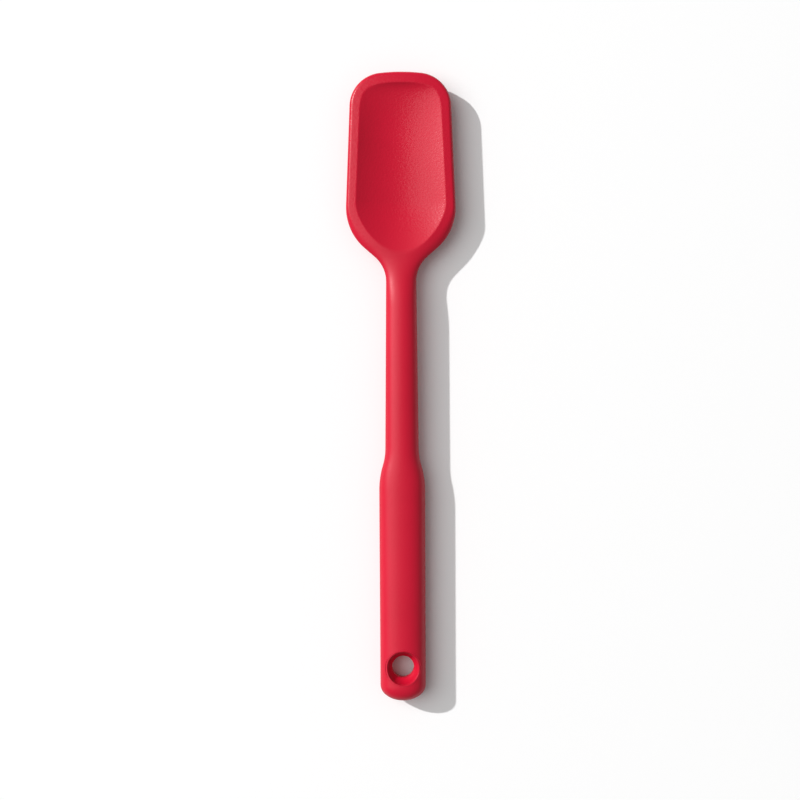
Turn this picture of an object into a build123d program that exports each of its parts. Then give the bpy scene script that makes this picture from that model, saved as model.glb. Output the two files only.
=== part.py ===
from build123d import *
import os
from math import acos, atan2, cos, pi, radians, sin, sqrt, tan

os.makedirs("parts", exist_ok=True)

# A spoon-shaped spatula: a stiff moulded core with one seamless silicone skin moulded round it.
# Millimetres. Y runs along the tool towards the tip of the head, X across it, Z up out of the bowl.
# The origin is under the middle of the tool, on the surface that it lies on.
overall_length = 318.0

# Head, seen from above
head_half_width = 27.8
head_widest_from_tip = 69.0
head_taper_angle = 2.3
crown_radius = 105.0
corner_radius = 17.0
shoulder_radius = 27.0
flank_angle = 48.6
neck_from_tip = 98.4
neck_radius = 16.5

# Shaft and handle, seen from above
neck_half_width = 7.6
shaft_half_width = 8.45
handle_half_width = 11.65
tail_half_width = 11.5
tail_round_length = 7.9
handle_length = 128.0
step_hollow_radius = 30.0
step_crown_radius = 44.0

# Heights, seen from the side
handle_height = 16.0
shaft_top_height = 15.6
shaft_floor_gap = 4.0
neck_floor_gap = 5.2
crest_height = 13.2
dome_rise = 0.9
rim_floor_gap = 8.9
dome_radius = 240.0
tip_dome_radius = 180.0
tip_dome_length = 20.0
rim_radius = 2.1
lip_radius = 1.0
parting_land = 0.2
neck_drop_start = 118.0
belly_start = 60.0
back_rise_length = 46.0
form_change_start = 94.0
form_change_length = 27.0
side_dip = 0.8
join_past_widest = 9.0

# How square the rounded sections are: where the quadrant's split point lies, as shares of its sides
shaft_split_share = 0.72
handle_split_share = 0.74

# Bowl, a formula surface that dips below the crest
bowl_depth = 5.0
bowl_half_width = 23.4
bowl_taper_angle = 3.0
bowl_bend_width = 10.0
bowl_bend_power = 2.3
bowl_from_tip = 5.65
bowl_length = 87.5
bowl_lip_length = 14.0
bowl_lip_power = 4.0
bowl_lip_share = 0.31
bowl_front_length = 48.0
bowl_front_power = 2.5
bowl_back_length = 38.0
bowl_tip_corner_power = 2.45
bowl_back_corner_power = 2.15
bowl_run_out_share = 25.0
bowl_overrun = 6.0
bowl_columns = 27
bowl_rows = 56

# Hanging hole, a short bore between two dished sinks
bore_radius = 5.5
bore_length = 4.4
sink_radius = 8.4
sink_dish_share = 0.72
hole_from_tail = 17.3

# Core: blade, spine and handle frame, and the gap that stands for the bond with the skin
bond_gap = 0.06
blade_thickness = 2.2
blade_half_width = 17.5
blade_corner_radius = 8.0
blade_from_tip = 13.0
blade_past_bowl_end = 4.0
blade_slot_width = 6.0
blade_slot_length = 12.0
blade_slot_pitch = 19.0
blade_slot_spread = 18.0
blade_slots_from_tip = 25.0
blade_slot_rows = 3
spine_half_width = 4.8
spine_half_height = 3.2
spine_into_blade = 20.0
frame_skin = 3.4
frame_half_height = 3.0
eye_skin = 1.9
eye_half_height = 2.6
frame_slot_width = 6.5
frame_slot_rib = 7.0
frame_slots_from_hole = 14.0
frame_slots_from_step = 2.0
frame_slot_count = 3

# One overrun for every cut
overrun = 3.0

# Places along the tool that follow from the sizes above
tip_y = overall_length / 2
tail_y = -overall_length / 2
tail_section_y = tail_y + tail_round_length
hole_y = tail_y + hole_from_tail
step_rise = handle_half_width - shaft_half_width
step_turn = acos(1 - step_rise / (step_hollow_radius + step_crown_radius))
step_length = (step_hollow_radius + step_crown_radius) * sin(step_turn)
shaft_start_y = tail_y + handle_length
handle_end_y = shaft_start_y - step_length
flank_root_y = tip_y - neck_from_tip
widest_y = tip_y - head_widest_from_tip
form_start_y = tip_y - form_change_start
neck_drop_y = tip_y - neck_drop_start
join_y = widest_y + join_past_widest
bowl_tip_y = tip_y - bowl_from_tip
bowl_end_y = bowl_tip_y - bowl_length
blade_tip_y = tip_y - blade_from_tip
blade_root_y = bowl_end_y + blade_past_bowl_end
frame_slots_start_y = hole_y + frame_slots_from_hole
frame_slots_end_y = handle_end_y - frame_slots_from_step
frame_slot_pitch = (frame_slots_end_y - frame_slots_start_y + frame_slot_rib) / frame_slot_count
frame_slot_length = frame_slot_pitch - frame_slot_rib

# Straight lines of the plan, as x = start + slope * y
side_slope = -tan(radians(head_taper_angle))
side_line = (head_half_width - side_slope * widest_y, side_slope)
flank_slope = tan(radians(flank_angle))
flank_line = (neck_half_width - flank_slope * flank_root_y, flank_slope)
shaft_taper = (neck_half_width - shaft_half_width) / (flank_root_y - shaft_start_y)
shaft_line = (neck_half_width - shaft_taper * flank_root_y, shaft_taper)


def ease(t):
    """Smooth step from 0 to 1 as t goes from 0 to 1, level at both ends."""
    t = min(max(t, 0), 1)
    return t * t * (3 - 2 * t)


def mix(a, b, t):
    """Value between a at 0 and b at 1."""
    return a + (b - a) * t


def rounded_corner(y, low, high, radius, side):
    """Half width at y of two straight lines with an arc between them.
    Side is 1 where the arc bulges outwards and -1 where it is hollow."""
    low_run = sqrt(1 + low[1] ** 2)
    high_run = sqrt(1 + high[1] ** 2)
    low_start = low[0] - side * radius * low_run
    high_start = high[0] - side * radius * high_run
    centre_y = (low_start - high_start) / (high[1] - low[1])
    centre_x = low_start + low[1] * centre_y
    if y <= centre_y - side * radius * low[1] / low_run:
        return low[0] + low[1] * y
    if y >= centre_y - side * radius * high[1] / high_run:
        return high[0] + high[1] * y
    return centre_x + side * sqrt(radius ** 2 - (y - centre_y) ** 2)


def two_arc_step(t):
    """Rise of the handle's shoulder at a distance t from the end of the shaft."""
    hollow_run = step_hollow_radius * sin(step_turn)
    if t <= 0:
        return 0
    if t <= hollow_run:
        return step_hollow_radius - sqrt(step_hollow_radius ** 2 - t ** 2)
    if t < step_length:
        return step_rise - step_crown_radius + sqrt(step_crown_radius ** 2 - (step_length - t) ** 2)
    return step_rise


def half_width(y):
    """Half width of the tool at y, from the tail's section to the straight side of the head."""
    flank_middle_y = flank_root_y + (head_half_width - neck_half_width) / flank_slope / 2
    if y > flank_middle_y:
        return rounded_corner(y, flank_line, side_line, shoulder_radius, 1)
    if y > shaft_start_y:
        return rounded_corner(y, shaft_line, flank_line, neck_radius, -1)
    tail_share = ease((handle_end_y - y) / (handle_end_y - tail_section_y))
    narrowing = (handle_half_width - tail_half_width) * tail_share
    return shaft_half_width + two_arc_step(shaft_start_y - y) - narrowing


def step_share(y):
    """1 along the handle, 0 along the shaft."""
    return ease((shaft_start_y - y) / step_length)


def top_height(y):
    """Height of the top of the section at x = 0, before the bowl is cut."""
    shaft = mix(shaft_top_height, handle_height, step_share(y))
    neck = mix(shaft, crest_height, ease((y - neck_drop_y) / (bowl_end_y - neck_drop_y)))
    dome = dome_rise * ease((y - bowl_end_y) / (widest_y - bowl_end_y))
    tip_run = max(y - (tip_y - tip_dome_length), 0)
    return neck + dome - (tip_dome_radius - sqrt(tip_dome_radius ** 2 - tip_run ** 2))


def bottom_height(y):
    """Height of the underside at x = 0."""
    neck_share = ease((y - shaft_start_y) / (neck_drop_y - shaft_start_y))
    shaft = mix(mix(shaft_floor_gap, neck_floor_gap, neck_share), 0, step_share(y))
    belly = mix(shaft, 0, ease((y - neck_drop_y) / (neck_drop_start - belly_start)))
    back_share = max(1 - (tip_y + overrun - y) / back_rise_length, 0)
    return belly + (rim_floor_gap - parting_land) * back_share ** 2


def back_radius(y):
    """Radius of the underside's arc across the head, which meets the rim at the widest place."""
    depth = rim_floor_gap - bottom_height(y)
    return (head_half_width ** 2 + depth ** 2) / (2 * depth)


def slab_quadrant(width, centre_height, radius, bulge):
    """Split point, slope and end of wall where an arc of the given radius meets an upright edge
    with the edge fillet between them. Bulge is 1 for the top and -1 for the underside."""
    fillet_radius = rim_radius if bulge == 1 else lip_radius
    rise = sqrt((radius - fillet_radius) ** 2 - (width - fillet_radius) ** 2)
    wall_height = centre_height - bulge * (radius - rise)
    reach = radius / (radius - fillet_radius)
    split_x = (width - fillet_radius) * reach
    split_z = centre_height - bulge * (radius - rise * reach)
    return split_x, split_z, atan2(width - fillet_radius, rise), wall_height


def quadrant_edges(y, side_x, side_z, centre_z, split_x, split_z, slope):
    """Two curves from the middle of the section round to its side, round arcs or nearly so."""
    up = 1 if centre_z > side_z else -1
    centre = Vector(0, y, centre_z)
    split = Vector(split_x, y, split_z)
    side = Vector(side_x, y, side_z)
    first_apex = Vector(split_x - abs(centre_z - split_z) / tan(slope), y, centre_z)
    second_apex = Vector(side_x, y, split_z - up * (side_x - split_x) * tan(slope))
    first_share = round_share(slope)
    second_share = round_share(pi / 2 - slope)
    first = Bezier(
        centre,
        centre + (first_apex - centre) * first_share,
        split + (first_apex - split) * first_share,
        split,
    )
    second = Bezier(
        split,
        split + (second_apex - split) * second_share,
        side + (second_apex - side) * second_share,
        side,
    )
    return first, second


def round_share(turn):
    """How far a curve's handles reach towards its apex so that it follows a round arc."""
    return 4 / 3 * tan(turn / 4) / tan(turn / 2)


def head_share(y):
    """0 where the section is the shaft's, 1 where it is the head's."""
    return ease((y - form_start_y) / form_change_length)


def slab_walls(y):
    """Where the head's upright edge begins and ends in height."""
    top = slab_quadrant(half_width(y), top_height(y), dome_radius, 1)
    under = slab_quadrant(half_width(y), bottom_height(y), back_radius(y), -1)
    return top[3], under[3]


def side_height(y):
    """Height of the middle of the section's side."""
    shaft_y = min(y, neck_drop_y)
    shaft = (top_height(shaft_y) + bottom_height(shaft_y)) / 2
    if y <= form_start_y:
        return shaft
    slab = sum(slab_walls(max(y, form_start_y + form_change_length))) / 2
    share = head_share(y)
    return mix(shaft, slab, share) - side_dip * share * (1 - share) * 4


def section_side(y, centre_z, radius, bulge):
    """The two curves of one quadrant of the section, and the height at which they end."""
    width = half_width(y)
    share = head_share(y)
    slab = slab_quadrant(width, centre_z, radius, bulge)
    if share == 1:
        return quadrant_edges(y, width, slab[3], centre_z, *slab[:3]), slab[3]
    # The shaft's quadrant, as shares of its sides, passes into the head's
    split_share = mix(shaft_split_share, handle_split_share, step_share(y))
    middle = side_height(y)
    shaft_y = min(y, form_start_y)
    shaft_centre = top_height(shaft_y) if bulge == 1 else bottom_height(shaft_y)
    shaft_slope = atan2(abs(shaft_centre - side_height(shaft_y)), half_width(shaft_y))
    slab_land = slab_walls(max(y, widest_y))
    wall_z = middle + bulge * mix(parting_land, slab_land[0] - slab_land[1], share) / 2
    rise_share = mix(split_share, (slab[1] - slab[3]) / (centre_z - slab[3]), share)
    split_x = width * mix(split_share, slab[0] / width, share)
    split_z = mix(wall_z, centre_z, rise_share)
    slope = mix(shaft_slope, slab[2], share)
    return quadrant_edges(y, width, wall_z, centre_z, split_x, split_z, slope), wall_z


def section_face(y):
    """The closed section at y as a face: the right side and its mirror image."""
    width = half_width(y)
    top, top_end = section_side(y, top_height(y), dome_radius, 1)
    under, under_end = section_side(y, bottom_height(y), back_radius(y), -1)
    right = [top[0], top[1], Line((width, y, top_end), (width, y, under_end)), under[1], under[0]]
    left = [mirror(edge, Plane.YZ) for edge in right]
    return make_face(right + left)


def spaced(start, end, count):
    """Evenly spaced values from start up to, but not including, end."""
    return [mix(start, end, i / count) for i in range(count)]


def slab_face(y):
    """Section of the head before its outline is cut: dome above, arc below, plain sides."""
    side = head_half_width
    top = top_height(y) - dome_radius + sqrt(dome_radius ** 2 - side ** 2)
    edges = [
        ThreePointArc((-side, y, top), (0, y, top_height(y)), (side, y, top)),
        Line((side, y, top), (side, y, rim_floor_gap)),
        ThreePointArc((side, y, rim_floor_gap), (0, y, bottom_height(y)), (-side, y, rim_floor_gap)),
        Line((-side, y, rim_floor_gap), (-side, y, top)),
    ]
    return make_face(edges)


def bend(x):
    """Rise of a rounded V: flat in the middle, and a straight slope beyond the bend's width."""
    rounded = abs(x) ** bowl_bend_power + bowl_bend_width ** bowl_bend_power
    return rounded ** (1 / bowl_bend_power) - bowl_bend_width


def bowl_height(x, y):
    """Height of the bowl's surface: a shallow dish that reaches the crest height along a rounded
    outline. It is a rounded V across the head, a ramp with a steep lip at the tip, and a ramp
    that ends level at the neck. A higher corner power makes squarer corners between them."""
    width = bowl_half_width - tan(radians(bowl_taper_angle)) * (y - widest_y)
    across = bend(x * bowl_half_width / width) / bend(bowl_half_width)
    inside = bowl_tip_y - y
    lip = max(1 - inside / bowl_lip_length, 0) ** bowl_lip_power
    slope = max(1 - inside / bowl_front_length, 0) ** bowl_front_power
    front = mix(slope, lip, bowl_lip_share)
    ramp = (y - bowl_end_y) / bowl_back_length
    back = cos(pi / 2 * min(ramp, 1)) ** 2 if ramp > 0 else 1 + bowl_run_out_share * ramp ** 2
    tip_share = ease((y - widest_y) / (bowl_tip_y - widest_y))
    power = mix(bowl_back_corner_power, bowl_tip_corner_power, tip_share)
    rise = across ** power + (front + back) ** power
    return crest_height - bowl_depth * (1 - rise ** (1 / power))


def back_height(x, y):
    """Height of the head's underside."""
    radius = back_radius(y)
    return bottom_height(y) + radius - sqrt(radius ** 2 - x ** 2)


def shank():
    """Handle, shaft and neck as one loft, up to the straight sides of the head."""
    handle = spaced(tail_section_y, handle_end_y, 12)
    step = spaced(handle_end_y, shaft_start_y, 10)
    shaft = spaced(shaft_start_y, neck_drop_y, 9)
    neck = spaced(neck_drop_y, join_y, 24)
    return loft([section_face(y) for y in handle + step + shaft + neck + [join_y]])


def tail():
    """Rounded end: the tail's section turned half way round and drawn in along the tool."""
    half = split(section_face(tail_section_y), Plane.YZ).moved(Location((0, -tail_section_y, 0)))
    dome = revolve(half, Axis.Z, -180)
    return scale(dome, (1, tail_round_length / tail_half_width, 1)).moved(Location((0, tail_section_y, 0)))


def head_plan():
    """Outline of the head beyond the join: tapering sides, rounded corners and a crowned tip."""
    width = half_width(join_y)
    crown_y = tip_y - crown_radius + sqrt(crown_radius ** 2 - width ** 2)
    crown_width = width + side_slope * (crown_y - join_y)
    outline = [
        Line((-width, join_y), (width, join_y)),
        Line((width, join_y), (crown_width, crown_y)),
        ThreePointArc((crown_width, crown_y), (0, tip_y), (-crown_width, crown_y)),
        Line((-crown_width, crown_y), (-width, join_y)),
    ]
    plan = make_face(outline)
    return fillet(plan.vertices().sort_by(Axis.Y)[-2:], corner_radius)


def head():
    """The head beyond the join: its plan cut out of a slab with a domed top and a rounded underside,
    with the rims rounded off."""
    end_y = tip_y + overrun
    slab = loft([slab_face(y) for y in spaced(join_y, end_y, 12) + [end_y]])
    prism = extrude(head_plan(), handle_height + overrun).moved(Location((0, 0, -overrun)))
    cut = slab & prism
    edges = [
        edge for edge in cut.edges()
        if edge.bounding_box().size.Z < lip_radius + rim_radius
        and edge.bounding_box().max.Y > join_y + overrun
    ]
    middle = (crest_height + rim_floor_gap) / 2
    rims = [edge for edge in edges if edge.center().Z > middle]
    lips = [edge for edge in edges if edge.center().Z < middle]
    return fillet(lips, lip_radius).fillet(rim_radius, rims)


def bowl():
    """Everything above the bowl's surface."""
    side = head_half_width + overrun
    columns = spaced(-side, side, bowl_columns) + [side]
    rows = spaced(bowl_end_y - bowl_overrun, tip_y + overrun, bowl_rows) + [tip_y + overrun]
    grid = [[Vector(x, y, bowl_height(x, y)) for x in columns] for y in rows]
    floor = Face.make_surface_from_array_of_points(grid, tol=bond_gap / 10)
    return extrude(floor, handle_height, (0, 0, 1))


def hanging_hole():
    """A short bore at mid height between two dished sinks, turned from one profile."""
    middle = handle_height / 2
    bore_end = bore_length / 2
    dish_r = mix(bore_radius, sink_radius, sink_dish_share)
    dish_z = (bore_end + middle) / 2
    top = middle + overrun
    outline = [
        Line((0, 0, 0), (bore_radius, 0, 0)),
        Line((bore_radius, 0, 0), (bore_radius, 0, bore_end)),
        ThreePointArc((bore_radius, 0, bore_end), (dish_r, 0, dish_z), (sink_radius, 0, middle)),
        Line((sink_radius, 0, middle), (sink_radius, 0, top)),
        Line((sink_radius, 0, top), (0, 0, top)),
        Line((0, 0, top), (0, 0, 0)),
    ]
    half = revolve(make_face(outline), Axis.Z)
    return (half + mirror(half, Plane.XY)).moved(Location((0, hole_y, middle)))


def core_height(x, y):
    """Height of the middle of the wall, half way between its two outer surfaces."""
    return (min(top_height(y), bowl_height(x, y)) + back_height(x, y)) / 2


def oval_face(y, side, rise):
    """Oval section of the core's spine."""
    middle = core_height(0, y)
    split_x = side * shaft_split_share
    split_rise = rise * shaft_split_share
    slope = atan2(rise, side)
    top = quadrant_edges(y, side, middle, middle + rise, split_x, middle + split_rise, slope)
    under = quadrant_edges(y, side, middle, middle - rise, split_x, middle - split_rise, slope)
    right = [*top, *under]
    return make_face(right + [mirror(edge, Plane.YZ) for edge in right])


def spine(grow):
    """Bar that runs from the eye through handle and shaft and thins out in the blade."""
    end_y = blade_root_y + spine_into_blade
    handle = spaced(hole_y, handle_end_y, 8)
    step = spaced(handle_end_y, shaft_start_y, 8)
    faces = []
    for y in handle + step + spaced(shaft_start_y, end_y, 18) + [end_y]:
        side = mix(spine_half_width, half_width(y) - frame_skin, step_share(y)) + grow
        rise = mix(spine_half_height, frame_half_height, step_share(y))
        rise = mix(rise, blade_thickness / 2, ease((y - neck_drop_y) / (end_y - neck_drop_y))) + grow
        faces.append(oval_face(y, side, rise))
    return loft(faces)


def blade(grow):
    """Curved plate half way between the bowl's floor and the head's underside, with slots through it."""
    half = blade_thickness / 2 + grow
    end_y = blade_tip_y + overrun
    faces = []
    for y in spaced(blade_root_y - overrun, end_y, 12) + [end_y]:
        wide = blade_half_width + overrun
        middle = core_height(0, y)
        edge = core_height(wide, y)
        outline = [
            ThreePointArc((-wide, y, edge + half), (0, y, middle + half), (wide, y, edge + half)),
            Line((wide, y, edge + half), (wide, y, edge - half)),
            ThreePointArc((wide, y, edge - half), (0, y, middle - half), (-wide, y, edge - half)),
            Line((-wide, y, edge - half), (-wide, y, edge + half)),
        ]
        faces.append(make_face(outline))
    side = blade_half_width + grow
    length = blade_tip_y - blade_root_y + 2 * grow
    plan = Pos(0, (blade_root_y + blade_tip_y) / 2) * RectangleRounded(2 * side, length, blade_corner_radius)
    return loft(faces) & extrude(plan, handle_height)


def slots(grow):
    """Slots through which the skin's two sides join: rows of two in the blade, one row in the frame."""
    cuts = []
    for row in range(blade_slot_rows):
        y = tip_y - blade_slots_from_tip - row * blade_slot_pitch
        for side in (-1, 1):
            slot = SlotOverall(blade_slot_length - 2 * grow, blade_slot_width - 2 * grow, rotation=90)
            cuts.append(Pos(side * blade_slot_spread / 2, y) * slot)
    for count in range(frame_slot_count):
        y = frame_slots_start_y + frame_slot_length / 2 + count * frame_slot_pitch
        slot = SlotOverall(frame_slot_length - 2 * grow, frame_slot_width - 2 * grow, rotation=90)
        cuts.append(Pos(0, y) * slot)
    return [extrude(cut, handle_height) for cut in cuts]


def core(grow):
    """The stiff core, grown all round by the given gap. Its eye is a little thinner than its frame."""
    eye = Cylinder(tail_half_width - eye_skin + grow, 2 * (eye_half_height + grow))
    through = Cylinder(bore_radius + eye_skin - grow, handle_height)
    place = Location((0, hole_y, handle_height / 2))
    return spine(grow) + blade(grow) + eye.moved(place) - through.moved(place) - slots(grow)


body = shank().fuse(head(), tail(), tol=bond_gap / 10)
outer = body - bowl() - hanging_hole()
nodes = {"silicone_skin": outer - core(bond_gap), "nylon_core": core(0)}
for name, node in nodes.items():
    export_step(node, f"parts/{name}.step")
    print(name, "volume", round(node.volume), "valid", node.is_valid)
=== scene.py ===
# %% [markdown]
# A spoon spatula in red silicone
# The tool lies on its back on a pale table, seen from straight above. It has two pieces: a stiff
# nylon core and one seamless skin of silicone moulded round it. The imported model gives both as
# solids at their real size. This lesson keeps the core, makes the skin again as one smooth surface
# from its formulas, and gives both a finish. Everything is in metres in the end, but a maker thinks
# of a spatula in millimetres, so the sizes below are in millimetres and one factor turns them over.

# %% Load the frame
import math
import bmesh
import bpy
import numpy as np
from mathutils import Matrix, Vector
from mathutils.bvhtree import BVHTree


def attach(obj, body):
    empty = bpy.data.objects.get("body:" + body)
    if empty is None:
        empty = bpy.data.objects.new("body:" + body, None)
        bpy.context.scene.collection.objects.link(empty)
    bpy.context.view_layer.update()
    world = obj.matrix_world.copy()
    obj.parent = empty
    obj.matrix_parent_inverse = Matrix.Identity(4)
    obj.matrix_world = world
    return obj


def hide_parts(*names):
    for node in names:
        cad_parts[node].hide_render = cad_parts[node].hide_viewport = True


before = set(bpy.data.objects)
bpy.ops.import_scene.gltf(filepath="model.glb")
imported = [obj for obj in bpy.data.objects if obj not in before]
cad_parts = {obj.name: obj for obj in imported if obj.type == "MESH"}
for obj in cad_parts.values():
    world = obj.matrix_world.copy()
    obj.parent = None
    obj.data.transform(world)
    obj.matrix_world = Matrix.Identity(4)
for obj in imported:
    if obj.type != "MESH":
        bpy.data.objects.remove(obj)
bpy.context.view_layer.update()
scene = bpy.context.scene
scene.view_settings.view_transform = "Standard"
MM = 0.001

# %% [markdown]
# Sizes
# These are the sizes that the mould maker would read off the drawing. The outline's come first, and
# those of the heights, the bowl and the hole follow where they are needed. They are the same numbers
# as in the solids, because the surface has to lie where the solids do, and a check further down
# compares the two. Only the inside of the bowl is a finer form than the solid's, a trough that is
# shallower at the tip. Y runs along the tool to the tip of the head, X across it and Z up out of the
# bowl.

# %% Sizes of the outline
LENGTH = 318.0
HEAD_HALF_WIDTH = 27.8
HEAD_WIDEST_FROM_TIP = 69.0
HEAD_TAPER_ANGLE = 2.3
CROWN_RADIUS = 105.0
CORNER_RADIUS = 17.0
SHOULDER_RADIUS = 27.0
FLANK_ANGLE = 48.6
NECK_FROM_TIP = 98.4
NECK_RADIUS = 16.5
NECK_HALF_WIDTH = 7.6
SHAFT_HALF_WIDTH = 8.45
HANDLE_HALF_WIDTH = 11.65
TAIL_HALF_WIDTH = 11.5
TAIL_ROUND_LENGTH = 7.9
HANDLE_LENGTH = 128.0
STEP_HOLLOW_RADIUS = 30.0
STEP_CROWN_RADIUS = 44.0
HOLE_FROM_TAIL = 17.3
print("length", LENGTH, "mm, head", 2 * HEAD_HALF_WIDTH, "mm wide before its corners are rounded")

# %% [markdown]
# Places
# On a drawing, most sizes are measured from the tip or from the tail. Here they become places on one
# axis with its zero in the middle of the tool, so that the formulas below can ask where a point lies.

# %% Places along the tool that follow from the sizes
tip_y = LENGTH / 2
tail_y = -LENGTH / 2
tail_section_y = tail_y + TAIL_ROUND_LENGTH
hole_y = tail_y + HOLE_FROM_TAIL
step_rise = HANDLE_HALF_WIDTH - SHAFT_HALF_WIDTH
step_turn = math.acos(1 - step_rise / (STEP_HOLLOW_RADIUS + STEP_CROWN_RADIUS))
step_length = (STEP_HOLLOW_RADIUS + STEP_CROWN_RADIUS) * math.sin(step_turn)
shaft_start_y = tail_y + HANDLE_LENGTH
handle_end_y = shaft_start_y - step_length
flank_root_y = tip_y - NECK_FROM_TIP
widest_y = tip_y - HEAD_WIDEST_FROM_TIP
print("handle to", round(shaft_start_y, 1), "mm, neck at", round(flank_root_y, 1), "mm")

# %% [markdown]
# The outline
# Seen from above, half of the tool is a chain of lines and arcs: the tail's half ellipse, the handle,
# a shoulder of two arcs down to the shaft, the hollow neck, the flank, the head's side and its rounded
# corner. Each is a formula for the half width at a place y. The formulas take whole arrays, because
# the surface asks for thousands of places at once.

# %% Outline from the tail to the sides of the head
def ease(t):
    """Smooth step: 3 t squared less 2 t cubed, from 0 to 1 and level at both ends."""
    t = np.clip(t, 0, 1)
    return t * t * (3 - 2 * t)


def blend(a, b, t):
    """Value at a share t of the way from a to b."""
    return a + (b - a) * t


side_slope = -math.tan(math.radians(HEAD_TAPER_ANGLE))
side_line = (HEAD_HALF_WIDTH - side_slope * widest_y, side_slope)
flank_slope = math.tan(math.radians(FLANK_ANGLE))
flank_line = (NECK_HALF_WIDTH - flank_slope * flank_root_y, flank_slope)
shaft_taper = (NECK_HALF_WIDTH - SHAFT_HALF_WIDTH) / (flank_root_y - shaft_start_y)
shaft_line = (NECK_HALF_WIDTH - shaft_taper * flank_root_y, shaft_taper)
flank_middle_y = flank_root_y + (HEAD_HALF_WIDTH - NECK_HALF_WIDTH) / flank_slope / 2


def rounded_corner(y, low, high, radius, side):
    """Half width along two straight lines with an arc tangent to both. The arc's centre is where the
    two lines meet after each moves sideways by the radius."""
    low_run, high_run = math.hypot(1, low[1]), math.hypot(1, high[1])
    low_start = low[0] - side * radius * low_run
    high_start = high[0] - side * radius * high_run
    centre_y = (low_start - high_start) / (high[1] - low[1])
    centre_x = low_start + low[1] * centre_y
    arc = centre_x + side * np.sqrt(np.maximum(radius ** 2 - (y - centre_y) ** 2, 0))
    before = y <= centre_y - side * radius * low[1] / low_run
    after = y >= centre_y - side * radius * high[1] / high_run
    return np.where(before, low[0] + low[1] * y, np.where(after, high[0] + high[1] * y, arc))


def two_arc_step(t):
    """Rise of the handle's shoulder: a hollow arc, then a crowned arc that ends level."""
    hollow_run = STEP_HOLLOW_RADIUS * math.sin(step_turn)
    t = np.clip(t, 0, step_length)
    hollow = STEP_HOLLOW_RADIUS - np.sqrt(STEP_HOLLOW_RADIUS ** 2 - np.minimum(t, hollow_run) ** 2)
    crown = step_rise - STEP_CROWN_RADIUS + np.sqrt(STEP_CROWN_RADIUS ** 2 - (step_length - t) ** 2)
    return np.where(t <= hollow_run, hollow, crown)


def half_width(y):
    """Half width at y, from the tail's section to the head's straight sides."""
    head = rounded_corner(y, flank_line, side_line, SHOULDER_RADIUS, 1)
    shaft = rounded_corner(y, shaft_line, flank_line, NECK_RADIUS, -1)
    tail_share = ease((handle_end_y - y) / (handle_end_y - tail_section_y))
    narrowing = (HANDLE_HALF_WIDTH - TAIL_HALF_WIDTH) * tail_share
    handle = SHAFT_HALF_WIDTH + two_arc_step(shaft_start_y - y) - narrowing
    return np.where(y > flank_middle_y, head, np.where(y > shaft_start_y, shaft, handle))


printed_places = np.array([hole_y, 0, flank_root_y, widest_y])
print("half widths at hole, middle, neck and head:", half_width(printed_places).round(2), "mm")

# %% [markdown]
# The rounded corners of the tip
# Beyond the straight sides the outline turns through a corner of 17 mm into a slightly crowned end.
# The rims are rounded with the same radius all the way, like the path of a ball that rolls along the
# wall, so the surface needs to know how far a point lies inside the outline and which way is out.

# %% Distance to the edge of the head
TINY = 1e-9

side_run = math.hypot(1, side_slope)
side_out = math.atan(-side_slope)
crown_centre_y = tip_y - CROWN_RADIUS


def corner_centre():
    """Centre of the corner's arc: one corner radius inside the side line, on the circle that lies one
    corner radius inside the crown."""
    start = side_line[0] - CORNER_RADIUS * side_run
    reach = CROWN_RADIUS - CORNER_RADIUS
    half = start * side_slope - crown_centre_y
    squares = 1 + side_slope ** 2
    rest = start ** 2 + crown_centre_y ** 2 - reach ** 2
    y = (-half + math.sqrt(half ** 2 - squares * rest)) / squares
    return start + side_slope * y, y


corner_x, corner_y = corner_centre()
crown_out = math.atan2(corner_y - crown_centre_y, corner_x)


def inside_edge(x, y):
    """Distance inside the head's outline, and the direction out: the distance to the side line, to the
    corner's arc or to the crown's arc, whichever sector the point lies in."""
    turn = np.arctan2(y - corner_y, x - corner_x)
    from_corner = np.maximum(np.hypot(x - corner_x, y - corner_y), TINY)
    from_crown = np.hypot(x, y - crown_centre_y)
    from_side = (side_line[0] + side_slope * y - x) / side_run

    def by_sector(side, crown, corner):
        """The value for the sector of each point."""
        return np.where(turn <= side_out, side, np.where(turn >= crown_out, crown, corner))

    distance = by_sector(from_side, CROWN_RADIUS - from_crown, CORNER_RADIUS - from_corner)
    out_x = by_sector(math.cos(side_out), x / from_crown, (x - corner_x) / from_corner)
    crown_out_y = (y - crown_centre_y) / from_crown
    out_y = by_sector(math.sin(side_out), crown_out_y, (y - corner_y) / from_corner)
    return distance, out_x, out_y


print("corner arc centred at", round(corner_x, 2), round(corner_y, 2), "mm")

# %% [markdown]
# Heights
# From the side, the tool is a few levels joined by smooth steps: the handle rests on the table, the
# shaft floats above it, and the head's belly comes down to the table again. Across the head the top is
# a very flat dome and the back a rounder arc.

# %% Levels along the tool
HANDLE_HEIGHT = 16.0
SHAFT_TOP = 15.6
SHAFT_FLOOR_GAP = 4.0
NECK_FLOOR_GAP = 5.2
NECK_DROP_START = 118.0
CREST_FROM_TIP = 93.15
CREST_HEIGHT = 13.2
DOME_RISE = 0.9
DOME_RADIUS = 240.0
TIP_DOME_RADIUS = 180.0
TIP_DOME_LENGTH = 20.0
RIM_FLOOR_GAP = 8.9
PARTING_LAND = 0.2
BELLY_START = 60.0
BACK_RISE_LENGTH = 46.0
BACK_RISE_OVERRUN = 3.0

neck_drop_y = tip_y - NECK_DROP_START
crest_y = tip_y - CREST_FROM_TIP


def step_share(y):
    """1 along the handle, 0 along the shaft."""
    return ease((shaft_start_y - y) / step_length)


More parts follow.
